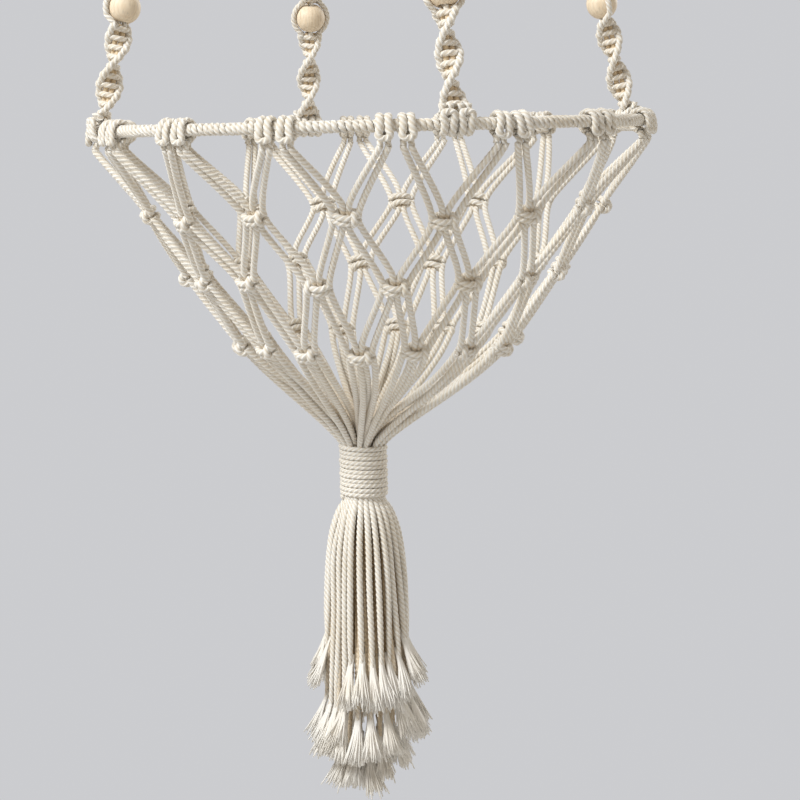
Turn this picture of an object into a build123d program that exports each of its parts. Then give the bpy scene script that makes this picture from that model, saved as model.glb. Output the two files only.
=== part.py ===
"""Hanging macrame planter: a wound hoop hung from a wooden ring by four knotted straps, with a
net of square knots below it that is gathered into a bound neck and a tassel.

Millimetres, +Z up. The origin is the middle of the hanging ring's eye, where the hook goes.
"""

from build123d import *
import math
import os

# Cord
CORD = 3.7  # cotton cord, across
CORD_SIDES = 6  # sides of a cord's section
SEAT = 0.3  # room between one cord and what it meets
PRESSED = 2.8  # the same cord where it is squeezed in a bound neck

# Hanging ring
RING_EYE = 48.0  # clear width of the eye
RING_BAR = 10.0  # thickness of the wooden bar
RING_PLAY = 0.8  # room that lets the loops turn on the bar
LOOP_COLUMNS = 4  # loops side by side on the bar, in two layers
LOOP_LAYERS = 2
LOOP_DROP = 22.0  # middle of the bar to the top of the upper binding

# Bindings: cord wound round the cords in it
WIND_CORD = 2.6  # thickness of the wound cord
WIND_PITCH = 3.1
WIND_TURNS = 11
NECK_R = 13.2  # radius of the gathered cords in the lower binding

# Straps
HOOP_DROP = 820.0  # middle of the ring to the plane of the hoop
STRAPS = 4
STRAP_START = 45.0  # angle of the first strap
SENNIT_FOOT = 8.2  # start of the lower sennit, along the strap from the hoop
SENNIT_STEPS = 10  # half knots in a sennit
SENNIT_STEP = 5.82  # height of one half knot
SENNIT_TURN = 36.0  # turn from one half knot to the next
SENNIT_W = 17.0
SENNIT_T = 9.6
SENNIT_BEVEL = 2.6
FILLER_GAP = 2.0  # each filler cord from the middle of the strap
WORKER_GAP = 4.5  # each working cord from the middle of the strap
MOUTH_BEND = 60.0  # bend of a strap cord below the upper binding
MOUTH_DROP = 7.0  # that bend's corner below the binding

# Beads
BEAD_D = 20.0
BEAD_BANDS = 10  # turned bands from one hole to the other

# Hoop
HOOP_R = 172.5  # radius at the middle of the bar
HOOP_WIRE = 3.5  # bare steel ring
HOOP_WOUND = 7.5  # ring with its winding
HOOP_SIDES = 8  # sides of the winding's section
HITCH_LIFT = 0.2  # room between a hitch and the winding
HITCH_CORD = 2.7  # thickness of a cord pulled tight round the hoop
HITCH_PITCH = 3.9  # from one turn of a hitch to the next
HITCH_APART = 6.1  # each hitch of a pair from the pair's middle

# Net: radius and depth below the hoop of each row of knots
KNOTS_PER_ROW = 16
ROW_R = (144.0, 119.0, 87.5)
ROW_DROP = (53.0, 93.0, 135.5)
KNOT_W = 16.0
KNOT_H = 9.2
KNOT_T = 8.0
KNOT_BEVEL = 1.3
KNOT_LOOP_H = 7.2  # upright loop at one side of a knot's front
KNOT_LOOP_PROUD = 1.2  # that loop in front of the bars
PORTS = (-6.4, -2.1, 2.1, 6.4)  # where the four cords enter and leave a knot
PORT_LIFT = 1.3  # end of a cord above the knot it enters

# Gathered neck below the net
NECK_SHIFT = -13.0  # the neck was tied this far off the hoop's middle, along X
NECK_DROP = 202.0  # hoop to the top of the lower binding
RIM_R = 44.0  # where the cords close up side by side
RIM_DROP = 179.0
RIM_SHIFT = -6.0  # middle of that circle, along X
FUNNEL_T = 4.2  # thickness of the closed cords

# Tassel
SWING = 25.0  # degrees the tassel swings each way
FRAY = 24.0  # length of the opened ends
TASSEL_RINGS = {
    # name: rings of (strands, radius at the top, radius at the fray, radius at the tip, drop of the tip, tip width)
    "tassel_outer_tier": ((26, 12.6, 25.0, 29.5, 364.0, 6.4),),
    "tassel_middle_tier": ((19, 9.5, 20.5, 32.0, 398.0, 8.6),),
    "tassel_inner_tier": (
        (12, 6.4, 14.5, 17.5, 431.0, 7.4),
        (6, 3.2, 7.0, 8.6, 428.0, 6.6),
        (1, 0.0, 0.0, 0.0, 431.0, 6.0),
    ),
}

# Worked out from the sizes above
PITCH = CORD + SEAT
RING_R = (RING_EYE + RING_BAR) / 2
BAR_Z = -RING_R
UPPER_TOP = BAR_Z - LOOP_DROP
WIND_H = WIND_TURNS * WIND_PITCH + WIND_CORD
UPPER_FOOT = UPPER_TOP - WIND_H
HOOP_Z = -HOOP_DROP
NECK_TOP = HOOP_Z - NECK_DROP
NECK_FOOT = NECK_TOP - WIND_H
BUNDLE_R = math.hypot(LOOP_COLUMNS / 2 - 0.5, LOOP_LAYERS - 0.5) * PITCH + CORD / 2
BLOCK_R = math.hypot(PITCH, PITCH)  # middle of one strap's four cords in the upper binding
SENNIT_L = SENNIT_STEPS * SENNIT_STEP
BEAD_S = SENNIT_FOOT + SENNIT_L + SEAT + BEAD_D / 2  # middle of the bead along the strap
UPPER_SENNIT_S = BEAD_S + BEAD_D / 2 + SEAT
STRAP_TOP_S = UPPER_SENNIT_S + SENNIT_L
BEAD_BORE_R = FILLER_GAP + CORD / 2 + SEAT
HITCH_R = HOOP_WOUND / 2 + HITCH_LIFT  # inside of a hitch
HITCH_OUT = HITCH_R + HITCH_CORD
STEP_ANGLE = 360 / KNOTS_PER_ROW


def export(part, name):
    """Names a finished piece and writes it."""
    part.label = name
    export_step(part, f"parts/{name}.step")


def cord(*stations):
    """A straight or tapering cord through (point, width) stations."""
    points = [Vector(*point) for point, width in stations]
    with BuildPart() as stretch:
        for point, (place, width) in zip(points, stations):
            with BuildSketch(Plane(point, z_dir=points[-1] - points[0])):
                RegularPolygon(width / 2, CORD_SIDES)
        loft(ruled=True)
    return stretch.part


def bent_cord(points, radius):
    """A cord along straight runs joined by tangent arcs."""
    with BuildPart() as stretch:
        with BuildLine() as route:
            FilletPolyline(*points, radius=radius)
        with BuildSketch(Plane(route.line @ 0, z_dir=route.line % 0)):
            RegularPolygon(CORD / 2, CORD_SIDES)
        sweep()
    return stretch.part


def polar(radius, angle, z):
    """A point at a radius and angle round the Z axis."""
    turn = math.radians(angle)
    return Vector(radius * math.cos(turn), radius * math.sin(turn), z)


# Hanging ring: a turned wooden ring, standing in the XZ plane
with BuildPart() as hanging_ring:
    with BuildSketch(Plane.XZ):
        with Locations((RING_R, 0)):
            Circle(RING_BAR / 2)
    revolve(axis=Axis.Z)
hanging_ring_part = Plane.XZ.location * hanging_ring.part


def ring_loop(column, layer):
    """One cord folded over the ring's bar, its two legs going down into the upper binding."""
    x = (column - (LOOP_COLUMNS - 1) / 2) * PITCH
    bend = RING_BAR / 2 + RING_PLAY + CORD / 2 + layer * PITCH
    foot = (layer + 0.5) * PITCH
    crown = -math.sqrt(RING_R**2 - x**2)
    drop = crown - UPPER_TOP - 3 * SEAT
    reach = math.hypot(foot, drop)
    touch = math.atan2(drop, foot) - math.acos(bend / reach)
    side, down = bend * math.cos(touch), bend * math.sin(touch)
    with BuildPart() as loop:
        with BuildLine() as route:
            Line((x, -foot, crown - drop), (x, -side, crown - down))
            ThreePointArc((x, -side, crown - down), (x, 0, crown + bend), (x, side, crown - down))
            Line((x, side, crown - down), (x, foot, crown - drop))
        with BuildSketch(Plane(route.line @ 0, z_dir=route.line % 0)):
            RegularPolygon(CORD / 2, CORD_SIDES)
        sweep()
    return loop.part


loops = [ring_loop(c, n) for c in range(LOOP_COLUMNS) for n in range(LOOP_LAYERS)]
with BuildPart() as ring_loops:
    add(loops)


def helix(top, radius, turn):
    """A point of a winding and its direction, after some turns down from the top."""
    angle = 2 * math.pi * turn
    point = top + Vector(radius * math.cos(angle), radius * math.sin(angle), -WIND_PITCH * turn)
    along = Vector(-math.sin(angle), math.cos(angle), -WIND_PITCH / (2 * math.pi * radius))
    return point, along.normalized()


def biarc_joint(start, start_way, end, end_way):
    """Where the two equal-tangent arcs between two directed points meet."""
    span = end - start
    a = 2 * (1 - start_way.dot(end_way))
    b = 2 * span.dot(start_way + end_way)
    reach = (math.sqrt(b * b + 4 * a * span.dot(span)) - b) / (2 * a)
    return (start + start_way * reach + end - end_way * reach) * 0.5


def winding(inner_radius, top):
    """A cord wound round the Z axis in one unbroken run of quarter-turn biarcs."""
    radius = inner_radius + SEAT + WIND_CORD / 2
    quarters = 4 * WIND_TURNS
    with BuildPart() as wound:
        with BuildLine() as route:
            first, first_way = helix(top, radius, 0)
            Line(first - first_way * WIND_CORD, first)
            for quarter in range(quarters):
                start, start_way = helix(top, radius, quarter / 4)
                end, end_way = helix(top, radius, (quarter + 1) / 4)
                joint = biarc_joint(start, start_way, end, end_way)
                rise = TangentArc(start, joint, tangent=start_way)
                TangentArc(joint, end, tangent=rise % 1)
            last, last_way = helix(top, radius, WIND_TURNS)
            Line(last, last + last_way * WIND_CORD)
        with BuildSketch(Plane(route.line @ 0, z_dir=route.line % 0)):
            RegularPolygon(WIND_CORD / 2, CORD_SIDES)
        sweep()
    samples = [helix(top, radius, k / 48)[0] for k in range(48 * WIND_TURNS + 1)]
    least = min((p - q).length for i, p in enumerate(samples) for q in samples[i + 24 :])
    print(f"winding of radius {radius:.1f}: least gap to itself {least - WIND_CORD:.2f} mm")
    return wound.part


windings = [
    winding(BUNDLE_R, Vector(0, 0, UPPER_TOP - WIND_CORD / 2)),
    winding(NECK_R, Vector(NECK_SHIFT, 0, NECK_TOP - WIND_CORD / 2)),
]
with BuildPart() as gathering_wraps:
    add(windings)


# Straps. Along a strap, x runs round the hoop, y inwards and z up the strap from the hoop.
def strap_plane(angle):
    """The frame of one strap, standing on the hoop and leaning to the upper binding."""
    foot = polar(HOOP_R, angle, HOOP_Z)
    head = polar(BLOCK_R, angle, UPPER_FOOT - MOUTH_DROP)
    return Plane(foot, x_dir=polar(1, angle + 90, 0), z_dir=head - foot)


# Spiral sennit: half knots stacked up the strap, each turned a step further
with BuildPart() as sennit:
    for step in range(SENNIT_STEPS):
        with BuildSketch(Plane.XY.offset(step * SENNIT_STEP).rotated((0, 0, step * SENNIT_TURN))) as bar:
            Rectangle(SENNIT_W, SENNIT_T)
            chamfer(bar.vertices(), SENNIT_BEVEL)
        extrude(amount=SENNIT_STEP)

# Bead: turned wood, with a hole for the two filler cords
hole_angle = math.asin(BEAD_BORE_R / (BEAD_D / 2))
band_angle = (math.pi - 2 * hole_angle) / BEAD_BANDS
with BuildPart() as bead:
    with BuildSketch(Plane.XZ):
        with BuildLine():
            rim = [hole_angle + band * band_angle for band in range(BEAD_BANDS + 1)]
            Polyline(*[(BEAD_D / 2 * math.sin(a), BEAD_D / 2 * math.cos(a)) for a in rim], close=True)
        make_face()
    revolve(axis=Axis.Z)

# Cords at a bead: two fillers through its hole, two working cords round its sides
bead_gap = BEAD_D / 2 + SEAT
side_out = BEAD_D / 2 + 2 * SEAT + CORD / 2
fillers = [cord(((0, y, -bead_gap), CORD), ((0, y, bead_gap), CORD)) for y in (-FILLER_GAP, FILLER_GAP)]


def side_cord(side):
    """A working cord that leaves one sennit, passes the bead and enters the next."""
    corner = side_out * math.sqrt(0.5) - SEAT
    with BuildPart() as stretch:
        with BuildLine() as route:
            ThreePointArc((side * corner, 0, -corner), (side * side_out, 0, 0), (side * corner, 0, corner))
        with BuildSketch(Plane(route.line @ 0, z_dir=route.line % 0)):
            RegularPolygon(CORD / 2, CORD_SIDES)
        sweep()
    return stretch.part


side_cords = [side_cord(side) for side in (-1, 1)]
with BuildPart() as bead_cords:
    add(fillers)
    add(side_cords)


def turns_on_hoop(offsets, bar_angle):
    """Turns of cord round the hoop's bar at X offsets, held by a bar of cord across them."""
    with BuildPart() as hitch:
        for x in offsets:
            with BuildSketch(Plane.YZ.offset(x - HITCH_CORD / 2)):
                RegularPolygon(HITCH_OUT, CORD_SIDES, major_radius=False)
                RegularPolygon(HITCH_R, CORD_SIDES, major_radius=False, mode=Mode.SUBTRACT)
            extrude(amount=HITCH_CORD)
        width = offsets[-1] - offsets[0] + HITCH_CORD
        across = Plane.YZ.offset(offsets[0] - HITCH_CORD / 2)
        with BuildSketch(across.rotated((0, 0, bar_angle))):
            with Locations((HITCH_OUT + HITCH_CORD / 4, 0)):
                Rectangle(HITCH_CORD, HITCH_CORD * 1.2)
        extrude(amount=width)
    return hitch.part


# Hitches: a strap's four turns on the hoop, and the lark's heads that start the net
strap_offsets = [(k - 1.5) * HITCH_PITCH for k in range(4)]
strap_hitch = turns_on_hoop(strap_offsets, 180)
lark_offsets = [-HITCH_PITCH / 2, HITCH_PITCH / 2]
lark_head = turns_on_hoop(lark_offsets, 215)

# Strap cords: from the upper binding, out and down to the top of the upper sennit
straps = [strap_plane(STRAP_START + k * 360 / STRAPS) for k in range(STRAPS)]
first_strap = straps[0]
cord_ends = {
    (PITCH / 2, PITCH / 2): (0, FILLER_GAP),
    (1.5 * PITCH, 1.5 * PITCH): (0, -FILLER_GAP),
    (1.5 * PITCH, PITCH / 2): (-WORKER_GAP, 0),
    (PITCH / 2, 1.5 * PITCH): (WORKER_GAP, 0),
}
strap_runs = []
for (x, y), (across, inward) in cord_ends.items():
    low = first_strap.from_local_coords(Vector(across, inward, STRAP_TOP_S + SEAT))
    points = [(x, y, UPPER_TOP), (x, y, UPPER_FOOT - MOUTH_DROP), low]
    strap_runs.append(bent_cord(points, MOUTH_BEND))
with BuildPart() as strap_cords:
    add(strap_runs)

# Hoop: a steel ring and the cord wound round it
with BuildPart() as hoop_core:
    with BuildSketch(Plane.XZ.offset(0)):
        with Locations((HOOP_R, HOOP_Z)):
            RegularPolygon(HOOP_WIRE / 2, HOOP_SIDES)
    revolve(axis=Axis.Z)

with BuildPart() as hoop_winding:
    with BuildSketch(Plane.XZ):
        with Locations((HOOP_R, HOOP_Z)):
            RegularPolygon(HOOP_WOUND / 2, HOOP_SIDES)
            RegularPolygon(HOOP_WIRE / 2 + HITCH_LIFT, HOOP_SIDES, mode=Mode.SUBTRACT)
    revolve(axis=Axis.Z)

# Lark's heads in pairs, halfway between the columns of knots
hoop_bar = Plane((HOOP_R, 0, HOOP_Z), x_dir=(0, 1, 0), z_dir=(0, 0, 1))
pair = []
for side in (-1, 1):
    turn = STEP_ANGLE / 2 + math.degrees(side * HITCH_APART / HOOP_R)
    pair.append(Rotation(0, 0, turn) * (hoop_bar.location * lark_head))
with BuildPart() as larks_heads:
    with PolarLocations(0, KNOTS_PER_ROW):
        add(pair)


# Square knots: two bars of cord over the cords they hold, with an upright loop at one side
def row_plane(row):
    """The frame of a row's first knot: x round the row, z up the net."""
    above = (HOOP_R, 0) if row == 0 else (ROW_R[row - 1], ROW_DROP[row - 1])
    below = (ROW_R[row + 1], ROW_DROP[row + 1]) if row + 1 < len(ROW_R) else (RIM_R, RIM_DROP)
    up = (above[0] - below[0], 0, below[1] - above[1])
    return Plane((ROW_R[row], 0, HOOP_Z - ROW_DROP[row]), x_dir=(0, 1, 0), z_dir=up)


with BuildPart() as square_knot:
    with BuildSketch(Plane.YZ.offset(-KNOT_W / 2)):
        for height in (-KNOT_H / 4, KNOT_H / 4):
            with BuildSketch(mode=Mode.PRIVATE) as wrap:
                Rectangle(KNOT_T, KNOT_H / 2 + KNOT_BEVEL / 2)
                chamfer(wrap.vertices(), KNOT_BEVEL)
            with Locations((0, height)):
                add(wrap.sketch)
    extrude(amount=KNOT_W)
    with BuildSketch(Plane.XZ.offset(KNOT_T / 2 - KNOT_BEVEL)) as side_loop:
        with Locations((CORD / 2 + KNOT_BEVEL / 2 - KNOT_W / 2, 0)):
            Rectangle(CORD, KNOT_LOOP_H)
        chamfer(side_loop.vertices(), KNOT_BEVEL)
    extrude(amount=KNOT_BEVEL + KNOT_LOOP_PROUD)


def port(row, place, low, angle):
    """Where a cord meets a knot of a row at an angle: place counts along PORTS."""
    height = KNOT_H / 2 + PORT_LIFT
    local = Vector(PORTS[place], 0, -height if low else height)
    return row_plane(row).from_local_coords(local).rotate(Axis.Z, angle)


def knot_row(row):
    """The knots of one row."""
    placed = Rotation(0, 0, row % 2 * STEP_ANGLE / 2) * (row_plane(row).location * square_knot.part)
    with BuildPart() as knots:
        with PolarLocations(0, KNOTS_PER_ROW):
            add(placed)
    return knots.part


def cord_row(runs):
    """A round of cords, from the few that repeat at every knot."""
    with BuildPart() as cords:
        with PolarLocations(0, KNOTS_PER_ROW):
            add(runs)
    return cords.part


# Drops: the four cords of a pair of lark's heads, two to the knot on each side
drops = []
for side, knot_angle, places in ((1, STEP_ANGLE, (0, 1)), (-1, 0, (3, 2))):
    for end, place in zip((-HITCH_PITCH / 2, HITCH_PITCH / 2), places):
        turn = STEP_ANGLE / 2 + math.degrees(side * (HITCH_APART + end) / HOOP_R)
        top = polar(HOOP_R, turn, HOOP_Z - HITCH_OUT - PORT_LIFT)
        drops.append(cord((top, CORD), (port(0, place, False, knot_angle), CORD)))


def runs_below(row):
    """The four cords from one knot to the two knots below it."""
    start = row % 2 * STEP_ANGLE / 2
    runs = []
    for side, places in ((1, ((2, 0), (3, 1))), (-1, ((1, 3), (0, 2)))):
        for upper, lower in places:
            top = port(row, upper, True, start)
            foot = port(row + 1, lower, False, start + side * STEP_ANGLE / 2)
            runs.append(cord((top, CORD), (foot, CORD)))
    return runs


# Gathered neck: the cords close up into a funnel, which goes down through the lower binding
def rim_point(angle, offset):
    """A point of the circle where the cords close up, some way out from the middle of their layer."""
    slope = math.atan2(NECK_DROP - RIM_DROP, RIM_R - NECK_R)
    place = polar(RIM_R + offset * math.sin(slope), angle, HOOP_Z - RIM_DROP - offset * math.cos(slope))
    return place + Vector(RIM_SHIFT, 0, 0)


gather = []
for knot in range(KNOTS_PER_ROW):
    for place in range(len(PORTS)):
        angle = knot * STEP_ANGLE
        top = port(len(ROW_R) - 1, place, True, angle)
        rim = rim_point(angle + (place - 1.5) * STEP_ANGLE / len(PORTS), 0)
        run = rim - top
        gather.append(cord((top, CORD), (rim - run.normalized() * 2 * SEAT, CORD)))
with BuildPart() as gather_cords:
    add(gather)

outer_rim, inner_rim = rim_point(0, FUNNEL_T / 2), rim_point(0, -FUNNEL_T / 2)
with BuildPart() as gathered_neck:
    with BuildSketch(Plane((NECK_SHIFT, 0, NECK_TOP))):
        Circle(NECK_R)
    for rim in (outer_rim, inner_rim):
        with BuildSketch(Plane((RIM_SHIFT, 0, rim.Z))):
            Circle(rim.X - RIM_SHIFT)
    loft(ruled=True)
    with BuildSketch(Plane((NECK_SHIFT, 0, NECK_TOP + FUNNEL_T))):
        Circle(NECK_R - FUNNEL_T)
    with BuildSketch(Plane((RIM_SHIFT, 0, inner_rim.Z))):
        Circle(inner_rim.X - RIM_SHIFT - SEAT)
    loft(ruled=True, mode=Mode.SUBTRACT)
    with BuildSketch(Plane((NECK_SHIFT, 0, NECK_FOOT))):
        Circle(NECK_R)
    extrude(amount=WIND_H)


# Tassel: cords hang from the lower binding in three tiers, their ends opened out
def tassel_strand(angle, ring):
    """One hanging cord with a frayed end, its top sloped off so that the tassel can swing."""
    count, top_r, fray_r, tip_r, drop, tip_w = ring
    slope_off = (top_r + PRESSED / 2) * math.tan(math.radians(SWING)) + SEAT
    middle = Vector(NECK_SHIFT, 0, 0)
    tip_z = HOOP_Z - drop
    top = polar(top_r, angle, NECK_FOOT - slope_off) + middle
    fray = polar(fray_r, angle, tip_z + FRAY) + middle
    tip = polar(tip_r, angle, tip_z) + middle
    return cord((top, PRESSED), (fray, CORD), (tip, tip_w))


os.makedirs("parts", exist_ok=True)
for tier, rings in TASSEL_RINGS.items():
    strands = [tassel_strand(k * 360 / ring[0], ring) for ring in rings for k in range(ring[0])]
    with BuildPart() as tassel:
        add(strands)
    export(tassel.part, tier)

for number, strap in enumerate(straps, 1):
    here = strap.location
    turned = Rotation(0, 0, (number - 1) * 360 / STRAPS)
    export(turned * strap_cords.part, f"strap_cords_{number}")
    export(here * Pos(0, 0, UPPER_SENNIT_S) * sennit.part, f"upper_sennit_{number}")
    export(here * Pos(0, 0, BEAD_S) * bead.part, f"bead_{number}")
    export(here * Pos(0, 0, BEAD_S) * bead_cords.part, f"bead_cords_{number}")
    export(here * Pos(0, 0, SENNIT_FOOT) * sennit.part, f"lower_sennit_{number}")
    standing = Rotation(0, 0, STRAP_START + (number - 1) * 360 / STRAPS) * hoop_bar.location
    export(standing * strap_hitch, f"strap_hitch_{number}")

export(hanging_ring_part, "hanging_ring")
export(ring_loops.part, "ring_loops")
export(gathering_wraps.part, "gathering_wraps")
export(hoop_core.part, "hoop_core")
export(hoop_winding.part, "hoop_winding")
export(larks_heads.part, "larks_heads")
export(cord_row(drops), "net_drops")
export(knot_row(0), "row_1_knots")
export(cord_row(runs_below(0)), "row_2_cords")
export(knot_row(1), "row_2_knots")
export(cord_row(runs_below(1)), "row_3_cords")
export(knot_row(2), "row_3_knots")
export(gather_cords.part, "gather_cords")
export(gathered_neck.part, "gathered_neck")
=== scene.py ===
"""Dresses the hanging macrame planter: twisted cotton cord, real knots, turned wood and studio light.

Lengths are millimetres until a mesh is written, which is in metres. Floor, lamps and camera are in metres.
"""

import math
from typing import NamedTuple

import bmesh
import bpy
import numpy as np
from mathutils import Matrix, Vector


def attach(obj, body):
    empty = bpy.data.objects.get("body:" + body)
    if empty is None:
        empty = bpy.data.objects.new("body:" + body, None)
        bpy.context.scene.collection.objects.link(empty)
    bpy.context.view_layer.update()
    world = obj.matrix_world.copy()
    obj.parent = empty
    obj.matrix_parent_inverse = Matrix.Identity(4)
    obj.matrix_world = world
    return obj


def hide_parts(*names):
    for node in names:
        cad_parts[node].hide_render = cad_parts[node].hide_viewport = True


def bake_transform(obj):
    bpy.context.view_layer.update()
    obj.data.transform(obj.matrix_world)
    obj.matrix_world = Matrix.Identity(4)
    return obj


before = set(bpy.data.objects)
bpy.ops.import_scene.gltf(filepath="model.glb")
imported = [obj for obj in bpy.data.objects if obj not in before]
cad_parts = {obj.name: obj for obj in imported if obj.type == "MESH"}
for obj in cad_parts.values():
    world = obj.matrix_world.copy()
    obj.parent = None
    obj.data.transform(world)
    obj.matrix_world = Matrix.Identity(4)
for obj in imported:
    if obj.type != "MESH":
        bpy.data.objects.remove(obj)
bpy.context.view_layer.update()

bl_info = {
    "name": "Hanging Macrame Planter",
    "version": (1, 0, 0),
    "blender": (4, 5, 0),
    "location": "View3D > Sidebar > Planter",
    "description": "Builds the cords, knots, beads and tassel of a hanging macrame planter",
    "category": "Object",
}

MM = 1000

# Ring and upper binding
RING_R = 29.0
RING_BAR = 10.0
RING_PLAY = 0.8
LOOP_PITCH = 4.0
LOOP_TUCK = 4.0
UPPER_TOP = -51.0
BINDING_H = 36.7
BINDING_TURNS = 11.55
BINDING_CORD = 3.25
BINDING_WALL = 1.55
BINDING_EDGE = 1.2
BINDING_RUN = BINDING_H - 2.6
UPPER_FOOT = UPPER_TOP - BINDING_H

# Hoop
HOOP_R = 172.5
HOOP_Z = -820.0
HOOP_CORD = 3.95
HOOP_CORD_FLAT = 0.58
HOOP_CORD_R = 2.75

# Straps; the sennits' turns and the turns of the cords past the beads are one for each strap, in degrees
STRAPS = 4
STRAP_FOOT_ANGLE = 45.0
STRAP_HEAD_R = math.hypot(4.0, 4.0)
STRAP_HEAD_Z = UPPER_FOOT - 7.0
STRAP_HITCH_HALF_GAP = 5.2
STRAP_TUCK = 3.0
STRAP_GATHER = 9.0
SENNIT_FOOT = 8.2
SENNIT_KNOTS = 10
SENNIT_PITCH = 5.82
SENNIT_PHASE = (-40.0, 6.0, -40.0, -31.0)
SENNIT_FILLER_X = 1.9
SENNIT_EDGE_X = 6.1
UPPER_SENNIT_S = 87.0
UPPER_SENNIT_TOP = UPPER_SENNIT_S + SENNIT_KNOTS * SENNIT_PITCH
BEAD_S = 76.7
BEAD_R = 10.0
BEAD_BORE = 4.15
BEAD_BORE_HALF = 7.9
BEAD_LIP = (0.18, 8.75)
BEAD_SOFTEN = 0.06
BEAD_CORD_HALF = 13.0
BEAD_CORD_TURN = ((0.0, 0.0), (0.0, 0.0), (-25.0, -80.0), (0.0, 0.0))
BORE_CORD = 3.5
BORE_CORD_Y = 1.85

# Net
KNOTS_PER_ROW = 16
STEP = 360 / KNOTS_PER_ROW
ROW_R = (144.0, 119.0, 87.5)
ROW_DROP = (53.0, 93.0, 135.5)
RIM = (44.0, 179.0)
LARK_HALF_GAP = 6.0
LARK_STRAY = 0.5
LARK_CORD = 3.9
LARK_SPREAD = 1.0
LARK_PRESS = 0.3
LARK_TILT = 4
LARK_LEAVE = np.array([0, 0, 0.35])
CORD_BEND = 0.14
CORD_STRAY = 0.45
KNOT_CORD = 4.0
KNOT_TILT = 3.5
KNOT_IN_OUT = 0.6
KNOTS_MIRRORED = 0.35
FILLER_CORD = 3.8
SIDE_CORD = 3.7

# Neck; the gathered cords close up in four layers
NECK_X = -13.0
NECK_TOP = HOOP_Z - 202.0
NECK_FOOT = NECK_TOP - BINDING_H
NECK_TUCK = 5.0
NECK_LAYER_R = (11.6, 8.9, 6.3, 3.4)
LAYER_OF_PORT = (0, 2, 1, 3)
# Painted shade on the gathered cords, for each layer deeper in the neck.
LAYER_SHADE = 0.22
GATHER_BEND = 0.34
GATHER_SQUEEZE = 0.84

# Each binding's name, place, top and the radius of what it binds
BINDINGS = (("upper_binding", 0.0, UPPER_TOP, 10.4), ("neck_binding", NECK_X, NECK_TOP, 12.5))

# Camera: focal length and image width in pixels, turns in degrees, and metres right, away and above the hoop
SENSOR = 36.0
FOCAL_PIXELS = 2302
IMAGE_PIXELS = 800
VIEW_AZIMUTH = 31.17
CAMERA_TURN = (2.19, 6.86, 1.30)
CAMERA_SPOT = (-0.0428, -1.4633, 0.00126)

# Lamps: metres right of the planter, away behind it and above its middle, then size in metres and watts
LAMPS = (
    ("window_left", -2.4, -1.6, 2.6, 1.7, 170),
    ("soft_front", 0.6, -2.4, 1.1, 2.4, 8),
    ("soft_back", 2.2, 2.2, 1.2, 2.4, 65),
)
LAMP_TARGET = Vector((0, 0, -1.0))
LAMP_COLOUR = (0.95, 0.98, 1.0)
WORLD_LIGHT = (1.0, 0.87, 0.70)
WORLD_STRENGTH = 0.34
FLOOR_R = 6.0
FLOOR_Z = -1.95
FLOOR_FADE = (1.98, 2.5)

# The cord's make: plies, how far their crowns stand out, how sharp the grooves are, and the shift of the
# fibres from one cord to the next
PLIES = 3
PLY_CROWN = 1.03
GROOVE_POWER = 1.6
FIBRE_SHIFT = 53.7
SEAM = 1e-4


class PlanterCord(bpy.types.PropertyGroup):
    """Sizes of the cotton cord, in millimetres."""

    width: bpy.props.FloatProperty(
        name="Cord width", description="Thickness of the cotton cord in mm",
        default=4.15, min=2.0, max=5.0,
    )
    lay: bpy.props.FloatProperty(
        name="Lay", description="Length of one full twist of the cord in mm",
        default=10.2, min=5.0, max=30.0,
    )
    groove: bpy.props.FloatProperty(
        name="Groove", description="Depth of the grooves between the plies",
        default=0.16, min=0.0, max=0.5, subtype="FACTOR",
    )
    hoop_turns: bpy.props.IntProperty(
        name="Turns on the hoop", description="Turns of cord wound round the hoop",
        default=289, min=100, max=500,
    )
    slack: bpy.props.FloatProperty(
        name="Hand-made slack", description="How far knots stray from an even net, in mm",
        default=1.3, min=0.0, max=4.0,
    )
    fray: bpy.props.FloatProperty(
        name="Fray", description="Length of the opened ends of the tassel in mm",
        default=26.0, min=5.0, max=40.0,
    )
    yarns: bpy.props.IntProperty(
        name="Yarns", description="Fine yarns in each opened end",
        default=60, min=6, max=80,
    )


class PlanterFinish(bpy.types.PropertyGroup):
    """Colours of the cotton, the wood and the stage, and of the shade painted on the cotton."""

    cotton: bpy.props.FloatVectorProperty(
        name="Cotton", description="Colour of the cord",
        default=(0.88, 0.855, 0.808), subtype="COLOR", min=0, max=1,
    )
    fluff: bpy.props.FloatVectorProperty(
        name="Fluff", description="Colour of the opened ends",
        default=(0.91, 0.88, 0.83), subtype="COLOR", min=0, max=1,
    )
    # Painted shade: the darker, warmer colour painted down in the grooves between the plies.
    painted_groove_shade: bpy.props.FloatVectorProperty(
        name="Crevice", description="Colour down between the plies",
        default=(0.71, 0.64, 0.535), subtype="COLOR", min=0, max=1,
    )
    # Painted shade: the darker, warmer colour painted on cord that lies deep in the work.
    painted_deep_shade: bpy.props.FloatVectorProperty(
        name="Deep cotton", description="Colour of cord that lies deep in the work",
        default=(0.70, 0.555, 0.37), subtype="COLOR", min=0, max=1,
    )
    wood: bpy.props.FloatVectorProperty(
        name="Wood", description="Pale wood of beads and ring",
        default=(0.80, 0.67, 0.50), subtype="COLOR", min=0, max=1,
    )
    grain: bpy.props.FloatVectorProperty(
        name="Grain", description="Darker lines in the wood",
        default=(0.75, 0.605, 0.43), subtype="COLOR", min=0, max=1,
    )
    wall: bpy.props.FloatVectorProperty(
        name="Background", description="Pale grey behind the planter",
        default=(0.60, 0.605, 0.625), subtype="COLOR", min=0, max=1,
    )


def cord_sizes():
    """The cord sizes of this scene."""
    return bpy.context.scene.planter_cord


def finishes():
    """The colours of this scene."""
    return bpy.context.scene.planter_finish


# Materials


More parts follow.
